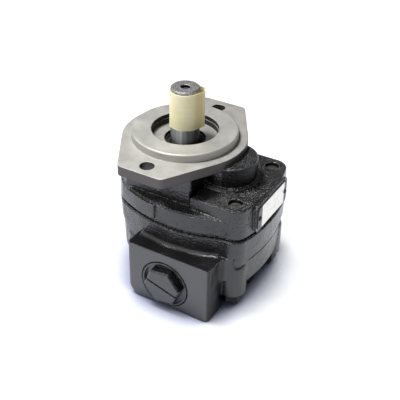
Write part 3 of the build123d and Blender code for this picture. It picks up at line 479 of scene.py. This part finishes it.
# Rubber is matt, with a bloom in clouds of 3 mm and pores of 0.4 mm
nitrile, shader, place = new_material("moulded_nitrile_rubber")
bloom = add_node(nitrile, "TexNoise", {"Vector": place, "Scale": 300.0, "Detail": 3.0})[0]
pores = add_node(nitrile, "TexNoise", {"Vector": place, "Scale": 2600.0})[0]
pore_height = add_node(nitrile, "Math", (pores, 0.02), operation="MULTIPLY")[0]
rubber_stops = ((0.3, "#161617"), (0.7, "#262627"))
feed(
    shader,
    Base_Color=add_node(nitrile, "ValToRGB", (bloom,), rubber_stops)[0],
    Roughness=add_node(nitrile, "MapRange", (bloom, 0.3, 0.7, 0.48, 0.66))[0],
    Normal=relief(nitrile, pore_height, 0.0002),
    Specular_IOR_Level=0.45,
)
dress(nitrile, "seal_lip", "thrust_plate_seals", "body_seal", "plug_seals")

ring_r, ring_z, coil_r, wire_r = 0.01381, -0.00917, 0.0006, 0.00015
coil_turns, steps_a_turn, wire_sides = 200, 10, 6


def coil_surface():
    """Points of the garter: a circle of wire carried along a coil that is itself bent to a ring.
    The coil's centre line is P(t) = ((R + r cos nt) cos t, (R + r cos nt) sin t, r sin nt)."""
    t = np.linspace(0, 2 * np.pi, coil_turns * steps_a_turn, endpoint=False)
    ring_out = np.stack([np.cos(t), np.sin(t), np.zeros_like(t)], 1)
    upward = np.array([0.0, 0.0, 1.0])
    spin = coil_turns * t
    coil_out = np.cos(spin)[:, None] * ring_out + np.sin(spin)[:, None] * upward
    line = ring_r * ring_out + coil_r * coil_out
    ahead = np.roll(line, -1, 0) - np.roll(line, 1, 0)
    ahead /= np.linalg.norm(ahead, axis=1, keepdims=True)
    aside = np.cross(ahead, coil_out)
    aside /= np.linalg.norm(aside, axis=1, keepdims=True)
    outward = np.cross(aside, ahead)
    angle = np.linspace(0, 2 * np.pi, wire_sides, endpoint=False)[None, :, None]
    round_wire = np.cos(angle) * outward[:, None] + np.sin(angle) * aside[:, None]
    return line[:, None] + wire_r * round_wire + np.array([0.0, 0.0, ring_z])


garter = grid_object("garter_spring", coil_surface())
# Music wire is drawn bright, with marks of 0.3 mm
music_wire, shader, place = new_material("drawn_music_wire")
draw = add_node(music_wire, "TexNoise", {"Vector": place, "Scale": 3500.0})[0]
draw_height = add_node(music_wire, "Math", (draw, 0.004), operation="MULTIPLY")[0]
wire_stops = ((0.3, "#8f8f92"), (0.7, "#c3c3c6"))
feed(
    shader,
    Base_Color=add_node(music_wire, "ValToRGB", (draw,), wire_stops)[0],
    Metallic=1.0,
    Roughness=add_node(music_wire, "MapRange", (draw, 0.3, 0.7, 0.2, 0.34))[0],
    Normal=relief(music_wire, draw_height),
)
garter.data.materials.append(music_wire)
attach(garter, "housing")
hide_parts("seal_spring")

# Bearing bushes.
# Four cast bronze bushes pressed into the two castings, bored and faced on a lathe. The bronze
# has pits of 0.5 mm and tarnishes in clouds of 6 mm.

bush_bronze, shader, place = new_material("turned_bearing_bronze")
spot = add_node(bush_bronze, "SeparateXYZ", (place,))
# The boring tool's feed leaves a groove each 0.25 mm
feed_angle = add_node(bush_bronze, "Math", (spot["Z"], 25100.0), operation="MULTIPLY")[0]
grooves = add_node(bush_bronze, "Math", (feed_angle,), operation="SINE")[0]
tarnish_links = {"Vector": place, "Scale": 160.0, "Detail": 4.0, "Roughness": 0.6}
tarnish = add_node(bush_bronze, "TexNoise", tarnish_links)[0]
pitted = add_node(bush_bronze, "TexNoise", {"Vector": place, "Scale": 2200.0})[0]
pits = add_node(bush_bronze, "MapRange", (pitted, 0.62, 0.72))[0]
pit_height = add_node(bush_bronze, "Math", (pits, -0.03), operation="MULTIPLY")[0]
bush_links = (grooves, 0.003, pit_height)
bush_height = add_node(bush_bronze, "Math", bush_links, operation="MULTIPLY_ADD")[0]
bronze_stops = ((0.3, "#a87b3e"), (0.7, "#c89b5a"))
bronze_colour = add_node(bush_bronze, "ValToRGB", (tarnish,), bronze_stops)[0]
pit_links = {0: pits, 6: bronze_colour, 7: linear("#4d3a22")}
feed(
    shader,
    Base_Color=add_node(bush_bronze, "Mix", pit_links, data_type="RGBA")[2],
    Metallic=1.0,
    Roughness=add_node(bush_bronze, "MapRange", (tarnish, 0.3, 0.7, 0.26, 0.42))[0],
    Normal=relief(bush_bronze, bush_height, 0.0003),
)
dress(bush_bronze, "drive_front_bearing", "idler_front_bearing")
dress(bush_bronze, "drive_rear_bearing", "idler_rear_bearing")

# Thrust plates.
# Two bronze plates that close the ends of the gears, lapped flat, so fine scratches cross on
# their faces. They are drawn 0.24 mm wide so that they show.

plate_bronze, shader, place = new_material("lapped_thrust_plate_bronze")
first_way = {"Vector": place, "Rotation": (0, 0, 0.6), "Scale": (90, 4200, 90)}
second_way = {"Vector": place, "Rotation": (0, 0, -0.7), "Scale": (90, 4200, 90)}
first_place = add_node(plate_bronze, "Mapping", first_way)[0]
second_place = add_node(plate_bronze, "Mapping", second_way)[0]
first_lap = add_node(plate_bronze, "TexNoise", {"Vector": first_place, "Scale": 1.0})[0]
second_lap = add_node(plate_bronze, "TexNoise", {"Vector": second_place, "Scale": 1.0})[0]
scratches = add_node(plate_bronze, "Math", (first_lap, second_lap), operation="ADD")[0]
scratch_height = add_node(plate_bronze, "Math", (scratches, 0.004), operation="MULTIPLY")[0]
tarnish_links = {"Vector": place, "Scale": 110.0, "Detail": 4.0, "Roughness": 0.6}
tarnish = add_node(plate_bronze, "TexNoise", tarnish_links)[0]
plate_stops = ((0.3, "#b1874b"), (0.7, "#d0a76a"))
feed(
    shader,
    Base_Color=add_node(plate_bronze, "ValToRGB", (tarnish,), plate_stops)[0],
    Metallic=1.0,
    Roughness=add_node(plate_bronze, "MapRange", (scratches, 0.7, 1.3, 0.2, 0.36))[0],
    Normal=relief(plate_bronze, scratch_height, 0.0003),
)
dress(plate_bronze, "front_thrust_plate", "rear_thrust_plate")

# Dowel pins.
# Two hardened pins that line up the two castings. They are ground round, which leaves bright
# rings, drawn 0.28 mm wide so that they show.

pin_steel, shader, place = new_material("ground_dowel_pin_steel")
round_scale = {"Vector": place, "Scale": (70.0, 70.0, 3600.0)}
round_place = add_node(pin_steel, "Mapping", round_scale)[0]
pin_links = {"Vector": round_place, "Scale": 1.0, "Detail": 3.0}
marks = add_node(pin_steel, "TexNoise", pin_links)[0]
marks_height = add_node(pin_steel, "Math", (marks, 0.002), operation="MULTIPLY")[0]
pin_stops = ((0.3, "#a9a9ab"), (0.7, "#c9c9ca"))
feed(
    shader,
    Base_Color=add_node(pin_steel, "ValToRGB", (marks,), pin_stops)[0],
    Metallic=1.0,
    Roughness=add_node(pin_steel, "MapRange", (marks, 0.3, 0.7, 0.16, 0.28))[0],
    Normal=relief(pin_steel, marks_height, 0.0002),
)
dress(pin_steel, "dowel_pins")

# Assembly screws and their washers.
# Four screws of black-oxide steel, put in from the rear, dark with a low sheen. Their rolled
# threads reach up through the shoulder, and the bared tips of two show in its holes.

black_oxide, shader, place = new_material("black_oxide_screw_steel")
spot = add_node(black_oxide, "SeparateXYZ", (place,))
# The oxide is cloudy, in patches of 3 mm
oxide_links = {"Vector": place, "Scale": 350.0, "Detail": 4.0, "Roughness": 0.6}
oxide = add_node(black_oxide, "TexNoise", oxide_links)[0]
# Rolled 7/16 inch thread: 14 turns to the inch, 1.1 mm deep, above the joint
thread_turns = add_node(black_oxide, "Math", (spot["Z"], 551.2), operation="MULTIPLY")[0]
turns = add_node(black_oxide, "Math", (thread_turns, 0.5), operation="PINGPONG")[0]
threaded = add_node(black_oxide, "MapRange", (spot["Z"], -0.0562, -0.0552))[0]
turn_height = add_node(black_oxide, "Math", (turns, 1.6), operation="MULTIPLY")[0]
thread_height = add_node(black_oxide, "Math", (turn_height, threaded), operation="MULTIPLY")[0]
screw_links = (oxide, 0.03, thread_height)
screw_height = add_node(black_oxide, "Math", screw_links, operation="MULTIPLY_ADD")[0]
tip = add_node(black_oxide, "MapRange", (spot["Z"], -0.0279, -0.0271))[0]
oxide_stops = ((0.3, "#1d1d20"), (0.7, "#35353a"))
oxide_colour = add_node(black_oxide, "ValToRGB", (oxide,), oxide_stops)[0]
tip_stops = ((0.35, "#5f5c58"), (0.65, "#8b8781"))
tip_colour = add_node(black_oxide, "ValToRGB", (oxide,), tip_stops)[0]
screw_colours = {0: tip, 6: oxide_colour, 7: tip_colour}
feed(
    shader,
    Base_Color=add_node(black_oxide, "Mix", screw_colours, data_type="RGBA")[2],
    Metallic=0.85,
    Roughness=add_node(black_oxide, "MapRange", (oxide, 0.3, 0.7, 0.32, 0.5))[0],
    Normal=relief(black_oxide, screw_height, 0.0004),
)
dress(black_oxide, "assembly_bolts", "bolt_washers")

# Port plugs.
# Two slotted hexagon plugs turned from steel bar, painted in place with the castings, so the
# enamel lies smooth on them and gathers in the moat round the hexagon.

plug_paint, shader, place = new_material("black_enamel_on_turned_steel")
# Orange peel of 1.6 mm, on a coat whose thickness changes over 7 mm
peel = add_node(plug_paint, "TexNoise", {"Vector": place, "Scale": 620.0})[0]
pool = add_node(plug_paint, "TexNoise", {"Vector": place, "Scale": 150.0})[0]
peel_height = add_node(plug_paint, "Math", (peel, 0.2), operation="MULTIPLY")[0]
plug_links = (pool, 0.25, peel_height)
plug_height = add_node(plug_paint, "Math", plug_links, operation="MULTIPLY_ADD")[0]
plug_stops = ((0.3, "#0d0d0f"), (0.7, "#1d1d1f"))
feed(
    shader,
    Base_Color=add_node(plug_paint, "ValToRGB", (pool,), plug_stops)[0],
    Roughness=add_node(plug_paint, "MapRange", (peel, 0.3, 0.7, 0.2, 0.34))[0],
    Normal=relief(plug_paint, plug_height, 0.0007),
    IOR=1.8,
)
dress(plug_paint, "port_plug_left", "port_plug_right")

# Name plate and its rivets.
# A plate of rolled aluminium, left bare, with the fine grain of its rolling along its length.
# Two blackened drive screws hold it to the pad.

rolled, shader, place = new_material("rolled_bare_aluminium")
# The grain is drawn 0.26 mm wide so that it shows, under smudges of 2.4 mm
grain_scale = {"Vector": place, "Scale": (120.0, 3800.0, 3800.0)}
grain_place = add_node(rolled, "Mapping", grain_scale)[0]
roll_grain = add_node(rolled, "TexNoise", {"Vector": grain_place, "Scale": 1.0})[0]
smudge_links = {"Vector": place, "Scale": 420.0, "Detail": 4.0, "Roughness": 0.7}
smudge = add_node(rolled, "TexNoise", smudge_links)[0]
# Its two ends are coloured dark grey and made less metallic, with ragged edges
spot = add_node(rolled, "SeparateXYZ", (place,))
off_middle = add_node(rolled, "Math", (spot["X"], 0.0008), operation="SUBTRACT")[0]
off_middle = add_node(rolled, "Math", (off_middle,), operation="ABSOLUTE")[0]
ragged = add_node(rolled, "Math", (smudge, 0.0012, off_middle), operation="MULTIPLY_ADD")[0]
dark_ends = add_node(rolled, "MapRange", (ragged, 0.0192, 0.0197))[0]
plate_stops = ((0.3, "#dcdad0"), (0.6, "#f6f4ea"))
plate_colour = add_node(rolled, "ValToRGB", (smudge,), plate_stops)[0]
plate_links = {0: dark_ends, 6: plate_colour, 7: linear("#4a494a")}
grain_height = add_node(rolled, "Math", (roll_grain, 0.006), operation="MULTIPLY")[0]
feed(
    shader,
    Base_Color=add_node(rolled, "Mix", plate_links, data_type="RGBA")[2],
    Metallic=add_node(rolled, "Mix", {0: dark_ends, 2: 0.8, 3: 0.1})[0],
    Roughness=add_node(rolled, "MapRange", (smudge, 0.3, 0.7, 0.26, 0.38))[0],
    Normal=relief(rolled, grain_height, 0.0003),
)
dress(rolled, "name_plate")

# The drive screws are blackened in a bath, which leaves them dull, with marks of 1.1 mm
rivet_steel, shader, place = new_material("blackened_drive_screw_steel")
bath_links = {"Vector": place, "Scale": 900.0, "Detail": 3.0}
bath_marks = add_node(rivet_steel, "TexNoise", bath_links)[0]
bath_height = add_node(rivet_steel, "Math", (bath_marks, 0.03), operation="MULTIPLY")[0]
rivet_stops = ((0.3, "#19191b"), (0.7, "#343436"))
feed(
    shader,
    Base_Color=add_node(rivet_steel, "ValToRGB", (bath_marks,), rivet_stops)[0],
    Metallic=0.6,
    Roughness=add_node(rivet_steel, "MapRange", (bath_marks, 0.3, 0.7, 0.3, 0.5))[0],
    Normal=relief(rivet_steel, bath_height, 0.0003),
)
dress(rivet_steel, "plate_rivets")

# Floor, light and camera.
# The motor stands on its rear face on white paper. One soft lamp hangs over it to the back and
# left. The room is bright on the left, with one tall narrow window, and dim on the right.

floor_z, floor_half = cad_box[0][2], 6
floor_corners = [(-1, -1), (1, -1), (1, 1), (-1, 1)]
floor_points = [(x * floor_half, y * floor_half, floor_z) for x, y in floor_corners]
floor_mesh = bpy.data.meshes.new("floor")
floor_mesh.from_pydata(floor_points, [], [(0, 1, 2, 3)])
floor = bpy.data.objects.new("floor", floor_mesh)
bpy.context.scene.collection.objects.link(floor)
paper, shader, place = new_material("white_paper")
rays = add_node(paper, "LightPath")
seen_rays = (rays["Is Camera Ray"], rays["Is Glossy Ray"])
seen = add_node(paper, "Math", seen_rays, operation="MAXIMUM")[0]
seen = add_node(paper, "Math", (seen, rays["Is Transmission Ray"]), operation="MAXIMUM")[0]
# Seen from the camera the paper is plain white, but for the shadow close to the motor on the
# side away from the lamp, which the photo shows a little blue
tilted = {"Distance": 0.046, "Normal": (-0.3, 0.76, 0.58)}
openness = add_node(paper, "AmbientOcclusion", tilted, samples=12)["AO"]
glow = add_node(paper, "MapRange", (openness, 0.38, 0.78, 0.0, 0.98))[0]
paper_links = {0: seen, 6: linear("#f7f8fb"), 7: linear("#787d92")}
shadow_stops = ((0.4, "#ccd4f4"), (0.72, "#ffffff"))
feed(
    shader,
    Base_Color=add_node(paper, "Mix", paper_links, data_type="RGBA")[2],
    Roughness=0.9,
    Specular_IOR_Level=0.0,
    Emission_Color=add_node(paper, "ValToRGB", (openness,), shadow_stops)[0],
    Emission_Strength=add_node(paper, "Math", (seen, glow), operation="MULTIPLY")[0],
)
floor.data.materials.append(paper)

world = bpy.data.worlds.new("white_room")
bpy.context.scene.world = world
world.use_nodes = True
direction = add_node(world, "TexCoord")["Generated"]
bright_way = (direction, (-0.66, 0.6, 0.45))
leftness = add_node(world, "VectorMath", bright_way, operation="DOT_PRODUCT")["Value"]
daylight = add_node(world, "MapRange", (leftness, 0.1, 0.95, 0.04, 0.95))[0]
# The window is mirrored in ground steel and in the enamel
across_way, along_way = (0.075, 0.997, 0.0), (-0.997, 0.075, 0.0)
across_links, along_links = (direction, across_way), (direction, along_way)
across = add_node(world, "VectorMath", across_links, operation="DOT_PRODUCT")["Value"]
along = add_node(world, "VectorMath", along_links, operation="DOT_PRODUCT")["Value"]
across = add_node(world, "Math", (across,), operation="ABSOLUTE")[0]
narrow = add_node(world, "MapRange", (across, 0.07, 0.04))[0]
ahead = add_node(world, "MapRange", (along, 0.3, 0.4))[0]
pane = add_node(world, "Math", (narrow, ahead), operation="MULTIPLY")[0]
brightness = add_node(world, "Math", (pane, 2.5, daylight), operation="MULTIPLY_ADD")[0]
room = world.node_tree.nodes["Background"]
feed(room, Color=linear("#ffffff"), Strength=brightness)


def stand_at(thing, position, back, upright, roll=0.0):
    """Places a lamp or camera that looks along -back, with its top towards upright."""
    back = back / np.linalg.norm(back)
    right = np.cross(upright, back)
    right /= np.linalg.norm(right)
    up = np.cross(back, right)
    stand = np.eye(4)
    stand[:3, 0] = right * np.cos(roll) + up * np.sin(roll)
    stand[:3, 1] = up * np.cos(roll) - right * np.sin(roll)
    stand[:3, 2], stand[:3, 3] = back, position
    made = bpy.data.objects.new(thing.name, thing)
    bpy.context.scene.collection.objects.link(made)
    made.matrix_world = Matrix(stand.tolist())
    return made


# The lamp looks at a point 50 mm below the mounting face
lamp = bpy.data.lights.new("soft_box", "AREA")
lamp.shape = "SQUARE"
lamp.size = 0.24
lamp.energy = 10.5
lamp_at, lamp_aim = np.array([-0.1, 0.25, 0.95]), np.array([0.0, 0.0, -0.05])
stand_at(lamp, lamp_at, lamp_at - lamp_aim, [0, 0, 1])

# The camera stands 0.62 m off, round to the left by 59.25 degrees and 32.75 degrees up. Its lens
# is shifted as the photo is cropped
turn, lift, roll = np.radians([-59.25, 32.75, 0.48])
back = np.array([np.sin(turn) * np.cos(lift), -np.cos(turn) * np.cos(lift), np.sin(lift)])
camera_at = np.array([0.0, 0.0, -0.04]) + back * 0.62365
camera = bpy.data.cameras.new("camera")
camera.sensor_width = 36.0
camera.lens = 70.52
camera.shift_x = 0.03825
camera.shift_y = -0.05315
bpy.context.scene.camera = stand_at(camera, camera_at, back, [0, 0, 1], roll)
bpy.context.scene.view_settings.view_transform = "Standard"
